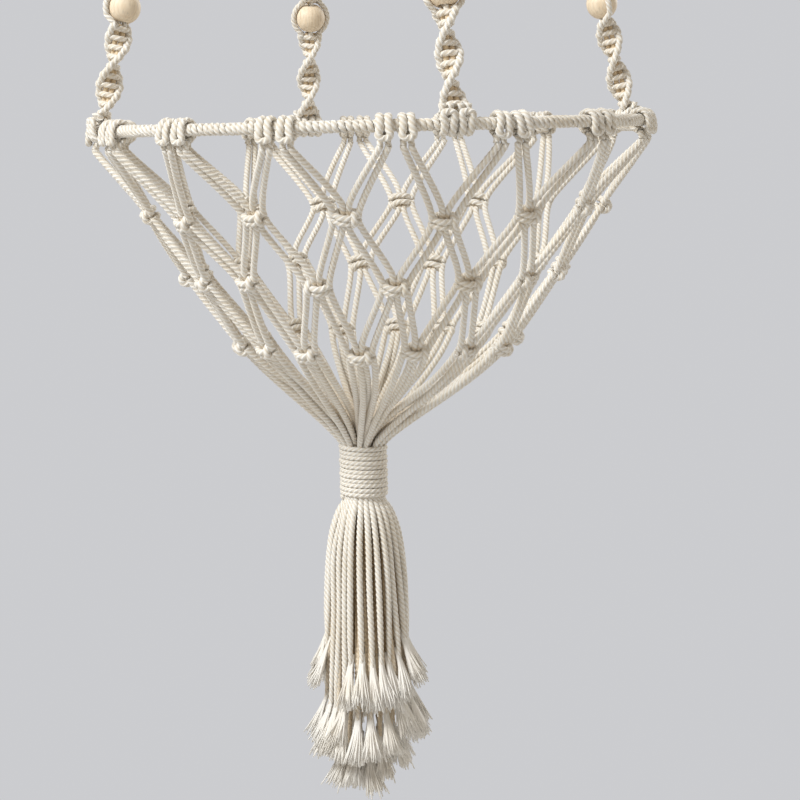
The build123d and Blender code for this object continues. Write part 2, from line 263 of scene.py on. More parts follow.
def node_adder(tree):
    """A helper that adds a node to a node tree, with its fields set and its inputs set or linked."""

    def add(kind, inputs=None, **fields):
        node = tree.nodes.new(kind)
        for field, value in fields.items():
            setattr(node, field, value)
        for socket, value in (inputs or {}).items():
            if isinstance(value, bpy.types.NodeSocket):
                tree.links.new(value, node.inputs[socket])
            else:
                node.inputs[socket].default_value = value
        return node

    return add


def shader_nodes(name):
    """A new material, its surface shader, a helper that adds nodes, and its links."""
    material = bpy.data.materials.new(name)
    material.use_nodes = True
    tree = material.node_tree
    return material, tree.nodes["Principled BSDF"], node_adder(tree), tree.links


def two_tone(add, factor, low, high):
    """A ramp between two stops, each given as a place and a colour."""
    ramp = add("ShaderNodeValToRGB", {"Fac": factor})
    for stop, (place, colour) in zip(ramp.color_ramp.elements, (low, high)):
        stop.position, stop.color = place, (*colour, 1)
    return ramp.outputs[0]


def multiplied(add, first, second):
    """One colour times another."""
    inputs = {"Fac": 1.0, "Color1": first, "Color2": second}
    return add("ShaderNodeMixRGB", inputs, blend_type="MULTIPLY").outputs[0]


def cotton_material(name):
    """Spun cotton: three plies with painted warm shade between them and fine fibres, and painted shade where
    cords lie deep in the work; opened cotton has no plies.
    """
    if name in bpy.data.materials:
        return bpy.data.materials[name]
    fluff = name == "opened_cotton"
    finish = finishes()
    material, shader, add, links = shader_nodes(name)
    lay = add("ShaderNodeAttribute", attribute_name="lay", attribute_type="GEOMETRY").outputs["Vector"]
    coords = add("ShaderNodeTexCoord")
    along = add("ShaderNodeVectorMath", {0: lay, 1: (5.0, 5.0, 0.5)}, operation="MULTIPLY")
    fibres = add(
        "ShaderNodeTexNoise",
        {"Vector": along.outputs[0], "Scale": 2.2, "Detail": 3.0, "Roughness": 0.65},
    ).outputs["Fac"]
    blotch = add(
        "ShaderNodeTexNoise",
        {"Vector": coords.outputs["Object"], "Scale": 38.0, "Detail": 2.0, "Roughness": 0.5},
    ).outputs["Fac"]
    pale = finish.fluff if fluff else finish.cotton
    warm = [c * k for c, k in zip(pale, (0.95, 0.925, 0.88))]
    colour = two_tone(add, blotch, (0.3, warm), (0.6, pale))
    bump = add("ShaderNodeBump", {"Height": fibres, "Strength": 0.3, "Distance": 0.0005})
    if not fluff:
        split = add("ShaderNodeSeparateXYZ", {0: lay})
        round_cord = add("ShaderNodeMath", {0: split.outputs[1], 1: split.outputs[0]}, operation="ARCTAN2")
        ply = add("ShaderNodeMath", {0: round_cord.outputs[0], 1: PLIES / 2}, operation="MULTIPLY")
        wave = add("ShaderNodeMath", {0: ply.outputs[0]}, operation="SINE")
        groove = add("ShaderNodeMath", {0: wave.outputs[0]}, operation="ABSOLUTE").outputs[0]
        # Painted shade: the grooves between the plies are darkened and warmed.
        painted_groove_shade = [c / p for c, p in zip(finish.painted_groove_shade, pale)]
        colour = multiplied(add, colour, two_tone(add, groove, (0.55, (1, 1, 1)), (1.0, painted_groove_shade)))
        round_ply = add(
            "ShaderNodeMapRange", {"Value": groove, "To Min": 1.0, "To Max": 0.0},
            interpolation_type="SMOOTHERSTEP",
        )
        plies = add("ShaderNodeBump", {"Height": round_ply.outputs[0], "Strength": 0.5, "Distance": 0.0006})
        links.new(plies.outputs[0], bump.inputs["Normal"])
    thread = add(
        "ShaderNodeMapRange",
        {"Value": fibres, "From Min": 0.3, "From Max": 0.7, "To Min": 0.86, "To Max": 1.03},
    )
    spun = multiplied(add, colour, thread.outputs[0])
    # Painted shade: where a cord lies deep among the others, its colour is mixed towards a darker, warmer
    # one.
    painted_shade = add("ShaderNodeAttribute", attribute_name="painted_shade", attribute_type="GEOMETRY").outputs["Fac"]
    painted_deep_shade = add("ShaderNodeMixRGB", {"Fac": painted_shade, "Color1": spun, "Color2": (*finish.painted_deep_shade, 1)})
    links.new(painted_deep_shade.outputs[0], shader.inputs["Base Color"])
    links.new(bump.outputs[0], shader.inputs["Normal"])
    rough = add("ShaderNodeMapRange", {"Value": fibres, "To Min": 0.82, "To Max": 0.98})
    links.new(rough.outputs[0], shader.inputs["Roughness"])
    shader.inputs["Specular IOR Level"].default_value = 0.25
    shader.inputs["Sheen Weight"].default_value = 0.3 if fluff else 0.2
    shader.inputs["Sheen Roughness"].default_value = 0.6
    shader.inputs["Sheen Tint"].default_value = (1.0, 0.97, 0.92, 1)
    return material


def wood_material(name, attribute):
    """Pale turned wood with fine grain and pores; the bead's grain follows its own axis."""
    if name in bpy.data.materials:
        return bpy.data.materials[name]
    finish = finishes()
    material, shader, add, links = shader_nodes(name)
    if attribute:
        own = add("ShaderNodeAttribute", attribute_name=attribute, attribute_type="GEOMETRY")
        place, stretch = own.outputs["Vector"], (60.0, 60.0, 9.0)
    else:
        place, stretch = add("ShaderNodeTexCoord").outputs["Object"], (70.0, 18.0, 70.0)
    long_grain = add("ShaderNodeMapping", {"Vector": place, "Scale": stretch}).outputs[0]
    waves = add(
        "ShaderNodeTexWave",
        {"Vector": long_grain, "Scale": 2.4, "Distortion": 6.0, "Detail": 3.0, "Detail Scale": 1.4},
    )
    pores = add(
        "ShaderNodeTexNoise", {"Vector": long_grain, "Scale": 14.0, "Detail": 4.0, "Roughness": 0.6}
    ).outputs["Fac"]
    tone = two_tone(add, waves.outputs["Fac"], (0.0, finish.grain), (0.55, finish.wood))
    speck = add(
        "ShaderNodeMapRange",
        {"Value": pores, "From Min": 0.32, "From Max": 0.5, "To Min": 0.8, "To Max": 1.0},
    )
    links.new(multiplied(add, tone, speck.outputs[0]), shader.inputs["Base Color"])
    rough = add("ShaderNodeMapRange", {"Value": pores, "To Min": 0.5, "To Max": 0.68})
    links.new(rough.outputs[0], shader.inputs["Roughness"])
    bump = add("ShaderNodeBump", {"Height": pores, "Strength": 0.12, "Distance": 0.0004})
    links.new(bump.outputs[0], shader.inputs["Normal"])
    shader.inputs["Coat Weight"].default_value = 0.08
    shader.inputs["Coat Roughness"].default_value = 0.35
    return material


def steel_material():
    """Drawn steel wire, with faint streaks."""
    material, shader, add, links = shader_nodes("hoop_wire_steel")
    coords = add("ShaderNodeTexCoord")
    streak = add(
        "ShaderNodeTexNoise", {"Vector": coords.outputs["Object"], "Scale": 220.0, "Detail": 3.0}
    ).outputs["Fac"]
    tone = two_tone(add, streak, (0.0, (0.36, 0.36, 0.37)), (1.0, (0.58, 0.58, 0.60)))
    links.new(tone, shader.inputs["Base Color"])
    rough = add("ShaderNodeMapRange", {"Value": streak, "To Min": 0.3, "To Max": 0.5})
    links.new(rough.outputs[0], shader.inputs["Roughness"])
    shader.inputs["Metallic"].default_value = 1.0
    return material


def dress_solid(node, material):
    """Gives a solid that stays in sight its material."""
    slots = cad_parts[node].data.materials
    slots.clear()
    slots.append(material)


# Pieces and cords


def give_attribute(mesh, name, kind, field, values):
    """Stores a value for each point of a mesh."""
    mesh.attributes.new(name, kind, "POINT").data.foreach_set(field, values.ravel())


def points_of(mesh):
    """A mesh's points."""
    place = np.empty(len(mesh.vertices) * 3)
    mesh.vertices.foreach_get("co", place)
    return place.reshape(-1, 3)


def put_piece(name, mesh, place, material, body, nodes):
    """Puts a piece's points in place, says what it rides on, and hides the solids it stands for."""
    mesh.vertices.foreach_set("co", (place / MM).ravel())
    mesh.polygons.foreach_set("use_smooth", np.ones(len(mesh.polygons), bool))
    mesh.update()
    mesh.materials.append(material)
    piece = bpy.data.objects.new(name, mesh)
    bpy.context.scene.collection.objects.link(piece)
    if body:
        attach(piece, body)
    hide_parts(*nodes)
    return piece


STRAIGHT = {}


def straight_cord(rings, sides, plies, groove, turn):
    """A straight cord of unit radius along Z, one unit a ring: a grid rolled up with the lay's turn."""
    key = (rings, sides, plies, round(groove, 4), round(turn, 5))
    if key not in STRAIGHT:
        bm = bmesh.new()
        bmesh.ops.create_grid(bm, x_segments=sides, y_segments=rings, size=0.5)
        for vert in bm.verts:
            across, ring = (vert.co.x + 0.5) * 2 * math.pi, round((vert.co.y + 0.5) * rings)
            dip = abs(math.sin(plies * across / 2)) ** GROOVE_POWER if plies else 0.0
            out, around = PLY_CROWN - groove * dip, across + turn * ring
            vert.co = (out * math.cos(around), out * math.sin(around), ring)
        bmesh.ops.remove_doubles(bm, verts=bm.verts, dist=SEAM)
        bmesh.ops.holes_fill(bm, edges=[e for e in bm.edges if e.is_boundary], sides=0)
        bmesh.ops.recalc_face_normals(bm, faces=bm.faces)
        mesh = bpy.data.meshes.new("straight_cord")
        bm.to_mesh(mesh)
        bm.free()
        STRAIGHT[key] = (mesh, points_of(mesh))
    return STRAIGHT[key]


def carried_normals(tangents):
    """A direction across the path at each point, carried along it without twisting."""
    first = tangents[0]
    across = np.cross(first, (0.0, 0.0, 1.0) if abs(first[2]) < 0.9 else (1.0, 0.0, 0.0))
    nx, ny, nz = across / np.linalg.norm(across)
    carried = []
    for tx, ty, tz in tangents:
        along = nx * tx + ny * ty + nz * tz
        nx, ny, nz = nx - along * tx, ny - along * ty, nz - along * tz
        size = math.sqrt(nx * nx + ny * ny + nz * nz)
        nx, ny, nz = nx / size, ny / size, nz / size
        carried.append((nx, ny, nz))
    return np.array(carried)


class CordWork:
    """Cords that are worked into one piece."""

    def __init__(self):
        self.bm = bmesh.new()
        self.places = []
        self.lays = []
        self.painted_shades = []

    def lay_cord(
        self, path, width=None, spacing=0.95, sides=9, plies=PLIES, facing=None, flat=1.0, painted_shade=0.0
    ):
        """Lays one cord along a path. width, flat and the painted shade are one value or one for each point
        of the path.

        A cord pressed against something is flat times as thick towards facing, a direction for each point.
        The painted shade, from 0 to 1, is how deep the cord lies among the others: its colour is painted
        darker and warmer there.
        """
        cord = cord_sizes()
        width = cord.width if width is None else width
        path = np.asarray(path, float)
        steps = np.linalg.norm(np.diff(path, axis=0), axis=1)
        keep = np.concatenate([[True], steps > 1e-6])
        path = path[keep]
        run = np.concatenate([[0.0], np.cumsum(steps[keep[1:]])])
        rings = max(3, int(math.ceil(run[-1] / spacing)))
        at = np.linspace(0.0, run[-1], rings + 1)

        def along(values):
            return np.interp(at, run, np.broadcast_to(np.asarray(values, float), keep.shape)[keep])

        points = np.stack([np.interp(at, run, path[:, k]) for k in range(3)], axis=1)
        tangents = np.gradient(points, axis=0)
        tangents /= np.linalg.norm(tangents, axis=1)[:, None]
        if facing is None:
            normals = carried_normals(tangents)
        else:
            normals = np.stack([along(facing[:, k]) for k in range(3)], axis=1)
            normals -= tangents * np.sum(normals * tangents, axis=1)[:, None]
            normals /= np.linalg.norm(normals, axis=1)[:, None]
        sideways = np.cross(tangents, normals)
        turn = -2 * math.pi * spacing / cord.lay if plies else 0.0
        mesh, unit = straight_cord(rings, sides, plies, cord.groove if plies else 0.0, turn)
        ring = np.clip(np.rint(unit[:, 2]).astype(int), 0, rings)
        radius, pressed = along(width) / 2, along(flat)
        self.bm.from_mesh(mesh)
        self.places.append(points[ring] + radius[ring, None] * (
            pressed[ring, None] * unit[:, 0:1] * normals[ring] + unit[:, 1:2] * sideways[ring]
        ))
        across = np.arctan2(unit[:, 1], unit[:, 0]) - turn * unit[:, 2]
        length = unit[:, 2] * (spacing * 2 / cord.width) + FIBRE_SHIFT * len(self.lays)
        self.lays.append(np.stack([np.cos(across), np.sin(across), length], axis=1))
        self.painted_shades.append(along(painted_shade)[ring])

    def finish(self, name, nodes, material="twisted_cotton", body="basket"):
        """Writes the piece, and hides the solids it stands for."""
        mesh = bpy.data.meshes.new(name)
        self.bm.to_mesh(mesh)
        self.bm.free()
        give_attribute(mesh, "lay", "FLOAT_VECTOR", "vector", np.concatenate(self.lays))
        give_attribute(mesh, "painted_shade", "FLOAT", "value", np.concatenate(self.painted_shades))
        cotton = cotton_material(material)
        return put_piece(name, mesh, np.concatenate(self.places), cotton, body, nodes)


def smooth_line(points, steps=8):
    """A smooth line through points."""
    p = np.asarray(points, float)
    p = np.vstack([2 * p[0] - p[1], p, 2 * p[-1] - p[-2]])
    t = np.linspace(0, 1, steps, endpoint=False)[:, None]
    spans = [
        0.5 * (2 * b + (c - a) * t + (2 * a - 5 * b + 4 * c - d) * t**2 + (3 * b - a - 3 * c + d) * t**3)
        for a, b, c, d in zip(p[:-3], p[1:-2], p[2:-1], p[3:])
    ]
    return np.vstack(spans + [p[-2:-1]])


def bent_line(start, start_pull, end_pull, end, steps=24):
    """A line that leaves start towards start_pull and reaches end from end_pull."""
    a, b, c, d = (np.asarray(p, float) for p in (start, start_pull, end_pull, end))
    t = np.linspace(0, 1, steps + 1)[:, None]
    return a * (1 - t) ** 3 + 3 * b * t * (1 - t) ** 2 + 3 * c * t**2 * (1 - t) + d * t**3


def graded(line, stops, values):
    """A value for each point of a line, between values at stops from 0 at its start to 1 at its end."""
    return np.interp(np.linspace(0, 1, len(line)), stops, values)


def polar(radius, angle, z):
    """A point at a radius and angle in degrees round the Z axis."""
    turn = math.radians(angle)
    return np.array([radius * math.cos(turn), radius * math.sin(turn), z])


class Place:
    """A spot on the planter, with its directions to the right, up and out as seen from outside."""

    def __init__(self, origin, right, up):
        self.origin = np.asarray(origin, float)
        right, up = np.asarray(right, float), np.asarray(up, float)
        self.up = up / np.linalg.norm(up)
        right = right - self.up * (right @ self.up)
        self.right = right / np.linalg.norm(right)
        self.out = np.cross(self.right, self.up)

    def at(self, points):
        """Points given as right, up and out, as points in the frame."""
        p = np.atleast_2d(np.asarray(points, float))
        return self.origin + p[:, 0:1] * self.right + p[:, 1:2] * self.up + p[:, 2:3] * self.out

    def turned(self, degrees):
        """The same spot, turned about its outward direction."""
        a = math.radians(degrees)
        right = self.right * math.cos(a) + self.up * math.sin(a)
        return Place(self.origin, right, np.cross(self.out, right))


# Net


def net_places():
    """Where each knot of the net is, row by row, with the small slips of hand work."""
    slack = cord_sizes().slack
    slip = np.random.default_rng(11)
    rows = []
    profile = [(HOOP_R, 0.0)] + list(zip(ROW_R, ROW_DROP)) + [RIM]
    for row in range(3):
        above, here, below = profile[row], profile[row + 1], profile[row + 2]
        lean = np.array([above[0] - below[0], below[1] - above[1]])
        places = []
        for knot in range(KNOTS_PER_ROW):
            stray = slip.normal(0, slack, 3)
            angle = (knot + row % 2 * 0.5) * STEP + math.degrees(stray[0] / here[0])
            up = np.array([*polar(lean[0], angle, 0)[:2], lean[1]])
            spot = polar(here[0] + KNOT_IN_OUT * stray[1], angle, HOOP_Z - here[1] + stray[2])
            tilt = slip.normal(0, KNOT_TILT)
            places.append(Place(spot, polar(1, angle + 90, 0), up).turned(tilt))
        rows.append(places)
    return rows


# A square knot, as right, up and out: where its four cords come in, and the upper half of those that are tied
PORTS = ((-7.4, 1.8), (-1.6, 6.2), (1.6, 6.2), (7.4, 1.8))
FRONT_CORD = (
    (-7.4, 1.8, 0.0), (-5.6, 1.9, 1.6), (-3.4, 1.75, 3.4), (-0.6, 1.7, 4.1), (2.4, 1.7, 3.6),
    (4.4, 0.0, 1.2),
)
BACK_CORD = (
    (7.4, 1.8, 0.0), (6.6, 2.9, 0.6), (5.2, 3.2, -1.2), (2.2, 2.6, -3.4), (-2.2, 2.4, -3.4),
    (-5.0, 2.2, -1.6), (-5.4, 1.0, 0.6), (-4.6, 0.0, 1.2),
)
SIDE_LOOP = ((3.6, 3.4, -1.0), (4.9, 3.3, 2.2), (5.2, 1.6, 4.3), (5.2, 0.0, 4.7))

# Half of a lark's head, as right, up and out: from the bar in front, over the hoop, to the end behind the bar
LARK_HALF = (
    (0.0, -7.0, 5.7), (-1.9, -6.9, 6.0), (-3.3, -5.3, 6.1), (-2.8, -2.6, 6.0), (-2.45, 0.5, 5.7),
    (-2.4, 4.2, 3.9), (-2.4, 5.6, 0.0), (-2.4, 3.9, -4.0), (-2.4, -1.0, -5.6), (-2.3, -4.8, -3.7),
    (-2.2, -6.8, -0.4), (-2.2, -9.0, 1.6), (-2.4, -11.5, 2.2),
)
LARK_END = LARK_HALF[-1]


def knot_port(place, port, low):
    """Where a cord comes into a knot from above, or leaves it below."""
    x, up = PORTS[port]
    return place.at([(x, -up if low else up, 0)])[0]


def tie_square_knot(work, place, mirrored):
    """A square knot: one cord goes over the front twice, one round the back, and two run straight through."""
    sign = -1 if mirrored else 1
    for upper in (FRONT_CORD, BACK_CORD, SIDE_LOOP):
        whole = list(upper) + [(x, -up, out) for x, up, out in upper[-2::-1]]
        points = [(sign * x, up, out) for x, up, out in whole]
        work.lay_cord(smooth_line(place.at(points), 6), KNOT_CORD)
    for x, up in PORTS[1:3]:
        through = [(x, up, 0), (0.8 * x, 0, 0), (x, -up, 0)]
        # The cords that run through are painted half in shade, as they lie inside the knot.
        work.lay_cord(smooth_line(place.at(through), 4), FILLER_CORD, painted_shade=0.5)


def tie_lark_head(work, place, upwards=False):
    """A lark's head: the folded cord goes over the hoop and its two ends come out behind the bar in front.

    Where the cord lies on the hoop it is pressed flat and spreads.
    """
    sign = -1 if upwards else 1
    half = [(x, sign * up, out) for x, up, out in LARK_HALF]
    line = smooth_line(half[::-1] + [(-x, up, out) for x, up, out in half[1:]], 6)
    on_hoop = np.clip((sign * line[:, 1] + 8.0) / 3.5, 0, 1)
    away = np.stack([0 * on_hoop, line[:, 1] * on_hoop, line[:, 2] + 1.5 * (1 - on_hoop)], axis=1)
    facing = place.at(away / np.linalg.norm(away, axis=1)[:, None]) - place.origin
    width, flat = LARK_CORD + LARK_SPREAD * on_hoop, 1 - LARK_PRESS * on_hoop
    work.lay_cord(place.at(line), width, facing=facing, flat=flat)


def hoop_place(angle, shift=0.0):
    """A spot on the hoop, shifted along it."""
    angle = angle + math.degrees(shift / HOOP_R)
    return Place(polar(HOOP_R, angle, HOOP_Z), polar(1, angle + 90, 0), (0, 0, 1))


def lark_places():
    """The lark's heads, in pairs, each with the one on the left first."""
    slip = np.random.default_rng(5)
    pairs = []
    for pair in range(KNOTS_PER_ROW):
        shifts = [side * LARK_HALF_GAP + slip.normal(0, LARK_STRAY) for side in (-1, 1)]
        pairs.append([hoop_place((pair + 0.5) * STEP, shift) for shift in shifts])
    return pairs


def drop_cord(work, slip, start, end, start_up, end_up):
    """A cord from one knot to the next: it leaves the upper one straight down, and its ends are tucked in."""
    reach = np.linalg.norm(end - start)
    stray = slip.normal(0, CORD_STRAY, 3)
    leave, arrive = start - start_up * reach * CORD_BEND + stray, end + end_up * reach * CORD_BEND + stray
    work.lay_cord(np.vstack([[start + start_up], bent_line(start, leave, arrive, end), [end - end_up]]))


# Straps


class StrapLine:
    """The line of one strap, from the hoop to the upper binding."""

    def __init__(self, number):
        self.angle = STRAP_FOOT_ANGLE + 90 * number
        foot = polar(HOOP_R, self.angle, HOOP_Z)
        head = polar(STRAP_HEAD_R, self.angle, STRAP_HEAD_Z)
        self.foot, self.up = foot, (head - foot) / np.linalg.norm(head - foot)
        self.across = polar(1, self.angle + 90, 0)
        self.inward = np.cross(self.up, self.across)

    def at(self, points):
        """Points given as across, inward and up the strap, as points in the frame."""
        p = np.atleast_2d(np.asarray(points, float))
        return self.foot + p[:, 0:1] * self.across + p[:, 1:2] * self.inward + p[:, 2:3] * self.up


# A half knot's bar across the sennit, as across and towards the front
SENNIT_BAR = ((-4.4, 0.5), (-3.6, 1.6), (-2.0, 2.4), (0.0, 2.6), (2.0, 2.4), (3.6, 1.6), (4.4, 0.5))

# A working cord past the bead, as out from the bead's axis and up along it
BEAD_BOW = (
    (5.6, -BEAD_CORD_HALF), (6.35, -11.05), (7.7, -9.3), (10.42, -6.05), (12.05, 0.0),
    (10.42, 6.05), (7.7, 9.3), (6.35, 11.05), (5.6, BEAD_CORD_HALF),
)

# Where a strap's cords leave the upper binding, in its quarter, and where they enter the sennit
CORD_NEAR, CORD_FAR = 0.5 * LOOP_PITCH, 1.5 * LOOP_PITCH
STRAP_CORDS = (
    ((CORD_NEAR, CORD_NEAR), (0, 1.6)),
    ((CORD_FAR, CORD_FAR), (0, -1.6)),
    ((CORD_FAR, CORD_NEAR), (-6.5, 0)),
    ((CORD_NEAR, CORD_FAR), (6.5, 0)),
)


def tie_sennit(work, strap, start, phase):
    """A spiral of half knots: two edges wind round two fillers, and each knot has two bars across it."""

    def turned(u, x, y):
        spiral = np.radians(phase + 360 / SENNIT_KNOTS * u)
        across, inward = x * np.cos(spiral) - y * np.sin(spiral), x * np.sin(spiral) + y * np.cos(spiral)
        return strap.at(np.stack([across, inward, start + SENNIT_PITCH * u], axis=1))

    u = np.linspace(0, SENNIT_KNOTS, SENNIT_KNOTS * 16 + 1)
    scallop = np.cos(2 * np.pi * (u - 0.5))
    bar_x, bar_y = smooth_line(SENNIT_BAR, 4).T
    # Painted shade: in full on the fillers inside the sennit, a little on the bars.
    for side in (-1, 1):
        work.lay_cord(turned(u, 0 * u + SENNIT_FILLER_X * side, 0 * u), FILLER_CORD, painted_shade=1.0)
        work.lay_cord(turned(u, side * (SENNIT_EDGE_X + 0.2 * scallop), 0 * u), 4.6 + 0.4 * scallop)
        for knot in range(SENNIT_KNOTS):
            bar = turned(knot + 0.5 + 0 * bar_x, side * bar_x, side * bar_y)
            work.lay_cord(bar, SIDE_CORD, painted_shade=0.15)


def pass_bead(strap, side, phase, turn):
    """The line of a working cord past the bead, turned round it from where the sennit leaves it."""
    out, up = (smooth_line(BEAD_BOW, 6) * (side, 1)).T
    angle = np.radians(phase + (turn - phase) * np.clip((BEAD_CORD_HALF - np.abs(up)) / 6.0, 0, 1))
    return strap.at(np.stack([out * np.cos(angle), out * np.sin(angle), BEAD_S + up], axis=1))


# Tassel


class StrandRing(NamedTuple):
    """A ring of strands in the tassel."""

    count: int
    top_r: float  # radius in the binding
    fray_r: float  # radius where the ends open
    tip_r: float  # radius of the tips
    drop: float  # how far the tips hang below the hoop
    in_front: float  # how much longer the strands in front are
    on_left: float  # how much longer the strands on the left are
    uneven: float  # how far the strands stray from an even ring


class Tier(NamedTuple):
    """A tier of the tassel."""

    node: str
    swell: tuple  # how far the strands have spread at each step of STRAND_FALL
    painted_shade: tuple  # how much shade is painted on the strands that lie deep, above and at their ends
    longer: float  # how much lower a few strands at the front left hang
    rings: tuple


STRAND_FALL = (0.0, 0.09, 0.26, 0.55, 1.0)
OUTER_SWELL = (0.0, 0.36, 0.66, 0.86, 1.0)
INNER_SWELL = (0.0, 0.26, 0.48, 0.66, 1.0)
LONG_STRANDS = (-165.0, -118.0)
# The middle and inner tiers are painted in shade, lighter where their ends open; the outer tier has none.
TIERS = {
    "outer": Tier("tassel_outer_tier", OUTER_SWELL, (0.0, 0.0), 42.0, (
        StrandRing(26, 12.2, 26.3, 39.5, 357.0, 14.0, 0.0, 1.0),
    )),
    "middle": Tier("tassel_middle_tier", INNER_SWELL, (1.0, 0.25), 0.0, (
        StrandRing(19, 9.2, 27.0, 41.0, 392.0, 14.0, 1.0, 2.0),
    )),
    "inner": Tier("tassel_inner_tier", INNER_SWELL, (1.0, 0.7), 0.0, (
        StrandRing(12, 6.2, 15.5, 31.0, 421.0, 0.0, 8.0, 2.0),
        StrandRing(6, 3.2, 8.0, 16.0, 419.0, 0.0, 8.0, 2.0),
        StrandRing(1, 0.0, 0.0, 0.5, 422.0, 0.0, 0.0, 2.0),
    )),
}
STRAND_WIDTHS = ((0, 0.12, 0.93, 1), (3.0, 4.1, 4.1, 2.2))
BRUSH_LENGTH = (0.94, 1.05)
BRUSH_WIDE = (4.6, 6.0)
BRUSH_THICK = (2.6, 3.4)
BRUSH_CORE = ((-0.1, 0.0, 0.3, 0.6, 0.85, 0.93), (3.0, 3.8, 6.0, 7.6, 8.2, 4.0))
YARN_REACH = (-0.3, 0.1, 0.4, 0.72, 1.0)
YARN_WIDTHS = np.linspace(1.3, 0.85, 9)
YARN_SPACING = 6.5
YARN_LENGTH = (0.86, 1.08)
YARN_CURL = 1.5
GOLDEN_TURN = 2.39996


def hang_strand(strands, ends, slip, tier, ring, number):
    """Hangs one strand from the binding and opens its end."""
    fray = cord_sizes().fray
    angle = number * 360 / ring.count + slip.normal(0, ring.uneven)
    seen = math.radians(angle - VIEW_AZIMUTH)
    longer = ring.in_front * max(0.0, -math.sin(seen)) ** 2 - ring.on_left * math.cos(seen)
    if LONG_STRANDS[0] < math.degrees(math.atan2(math.sin(seen), math.cos(seen))) < LONG_STRANDS[1]:
        longer += tier.longer
    tip_z = HOOP_Z - ring.drop - longer + slip.normal(0, 3.0 * ring.uneven**0.8)
    fray_z = tip_z + fray
    line = [polar(ring.top_r, angle, NECK_FOOT + NECK_TUCK)]
    for out, down in zip(tier.swell, STRAND_FALL):
        radius = ring.top_r + (ring.fray_r + slip.normal(0, 0.7) - ring.top_r) * out
        sway = slip.normal(0, 1.4) * down
        line.append(polar(radius, angle + sway, NECK_FOOT - 1.0 + (fray_z - NECK_FOOT) * down))
    line = smooth_line(np.array(line) + np.array([NECK_X, 0, 0]), 10)
    # Painted shade along the strand: the tier's value above, changing to its end value over the last fifth.
    above, at_end = tier.painted_shade
    painted_shade = graded(line, (0, 0.8, 1), (above, above, at_end))
    strands.lay_cord(line, graded(line, *STRAND_WIDTHS), painted_shade=painted_shade)
    fall = polar(ring.tip_r - ring.fray_r, angle, tip_z - fray_z)
    open_end(ends, slip, line, fall, polar(1, angle, 0))


def open_end(work, slip, line, fall, out):
    """Opens one end like a brush: yarns fan out round a soft core, wide along the tassel's round."""
    cord = cord_sizes()
    root = line[-1]
    along = (line[-1] - line[-3]) / np.linalg.norm(line[-1] - line[-3])
    lead = along * 0.3 + fall / np.linalg.norm(fall) * 0.7
    side = np.cross(out, lead)
    side /= np.linalg.norm(side)
    front = np.cross(lead, side)
    length = cord.fray * slip.uniform(*BRUSH_LENGTH)
    wide, thick = slip.uniform(*BRUSH_WIDE), slip.uniform(*BRUSH_THICK)
    bow = side * slip.normal(0, 1.2) + front * slip.normal(0, 0.6)

    def fan(reach, turn, size):
        grow = 0.2 + 0.8 * max(reach, 0.0) ** 0.85
        spread = side * math.cos(turn) * wide + front * math.sin(turn) * thick
        return root + lead * length * reach + spread * size * grow + bow * reach**2

    core = [fan(reach, 0.0, 0.0) for reach in BRUSH_CORE[0]]
    facing = np.tile(front, (len(core), 1))
    work.lay_cord(core, BRUSH_CORE[1], 4.0, plies=0, facing=facing, flat=thick / wide)
    for yarn in range(cord.yarns):
        turn = yarn * GOLDEN_TURN + slip.normal(0, 0.15)
        size = 1.0 if yarn % 3 else slip.uniform(0.3, 0.8)
        end = slip.uniform(*YARN_LENGTH)
        curl = slip.normal(0, YARN_CURL, 3)
        points = [fan(end * k, turn, size) + curl * k**2 for k in YARN_REACH]
        work.lay_cord(smooth_line(points, 2), YARN_WIDTHS, spacing=YARN_SPACING, sides=4, plies=0)


# Operators


class PLANTER_OT_hanging_ring(bpy.types.Operator):
    """Gives the hanging ring its turned wood and the hoop's wire its steel"""

    bl_idname = "planter.hanging_ring"
    bl_label = "Hanging ring"

    def execute(self, context):
        dress_solid("hanging_ring", wood_material("turned_ring_wood", None))
        dress_solid("hoop_core", steel_material())
        return {"FINISHED"}


class PLANTER_OT_ring_loops(bpy.types.Operator):
    """Folds the strap cords over the hanging ring"""

    bl_idname = "planter.ring_loops"
    bl_label = "Ring loops"

    def execute(self, context):
        width = cord_sizes().width
        work = CordWork()
        turn = np.radians(np.linspace(-15, 195, 43))
        for column in range(4):
            for layer in range(2):
                x = (column - 1.5) * LOOP_PITCH
                bend = RING_BAR / 2 + RING_PLAY + width / 2 + layer * (LOOP_PITCH - 0.2)
                crown = -math.sqrt(RING_R**2 - x**2)
                foot = (layer + 0.5) * LOOP_PITCH
                over = np.stack([0 * turn + x, -bend * np.cos(turn), crown + bend * np.sin(turn)], axis=1)
                down = [(x, -foot, UPPER_TOP - LOOP_TUCK), (x, -foot - 0.3, UPPER_TOP + 2.0)]
                back = [(x, foot + 0.3, UPPER_TOP + 2.0), (x, foot, UPPER_TOP - LOOP_TUCK)]
                work.lay_cord(np.vstack([down, over, back]))
        work.finish("loop_cords", ["ring_loops"])
        return {"FINISHED"}


class PLANTER_OT_bindings(bpy.types.Operator):
    """Winds the cord round the strap cords at the top and round the gathered neck"""

    bl_idname = "planter.bindings"
    bl_label = "Bindings"

    def execute(self, context):
        # the cord is wound by hand and wavers a little
        t = np.linspace(0, BINDING_TURNS, int(BINDING_TURNS * 60))
        swell = 0.35 * np.sin(2.1 * t) + 0.2 * np.sin(2 * np.pi * t * 0.37)
        angle = 2 * np.pi * t + 0.6
        for name, x, top, inner in BINDINGS:
            work = CordWork()
            radius = inner + BINDING_WALL + swell * 0.6
            z = top - BINDING_EDGE - BINDING_RUN * t / BINDING_TURNS + 0.12 * np.sin(3 * t)
            path = np.stack([x + radius * np.cos(angle), radius * np.sin(angle), z], axis=1)
            work.lay_cord(path, BINDING_CORD)
            work.finish(name, ["gathering_wraps"])
        return {"FINISHED"}


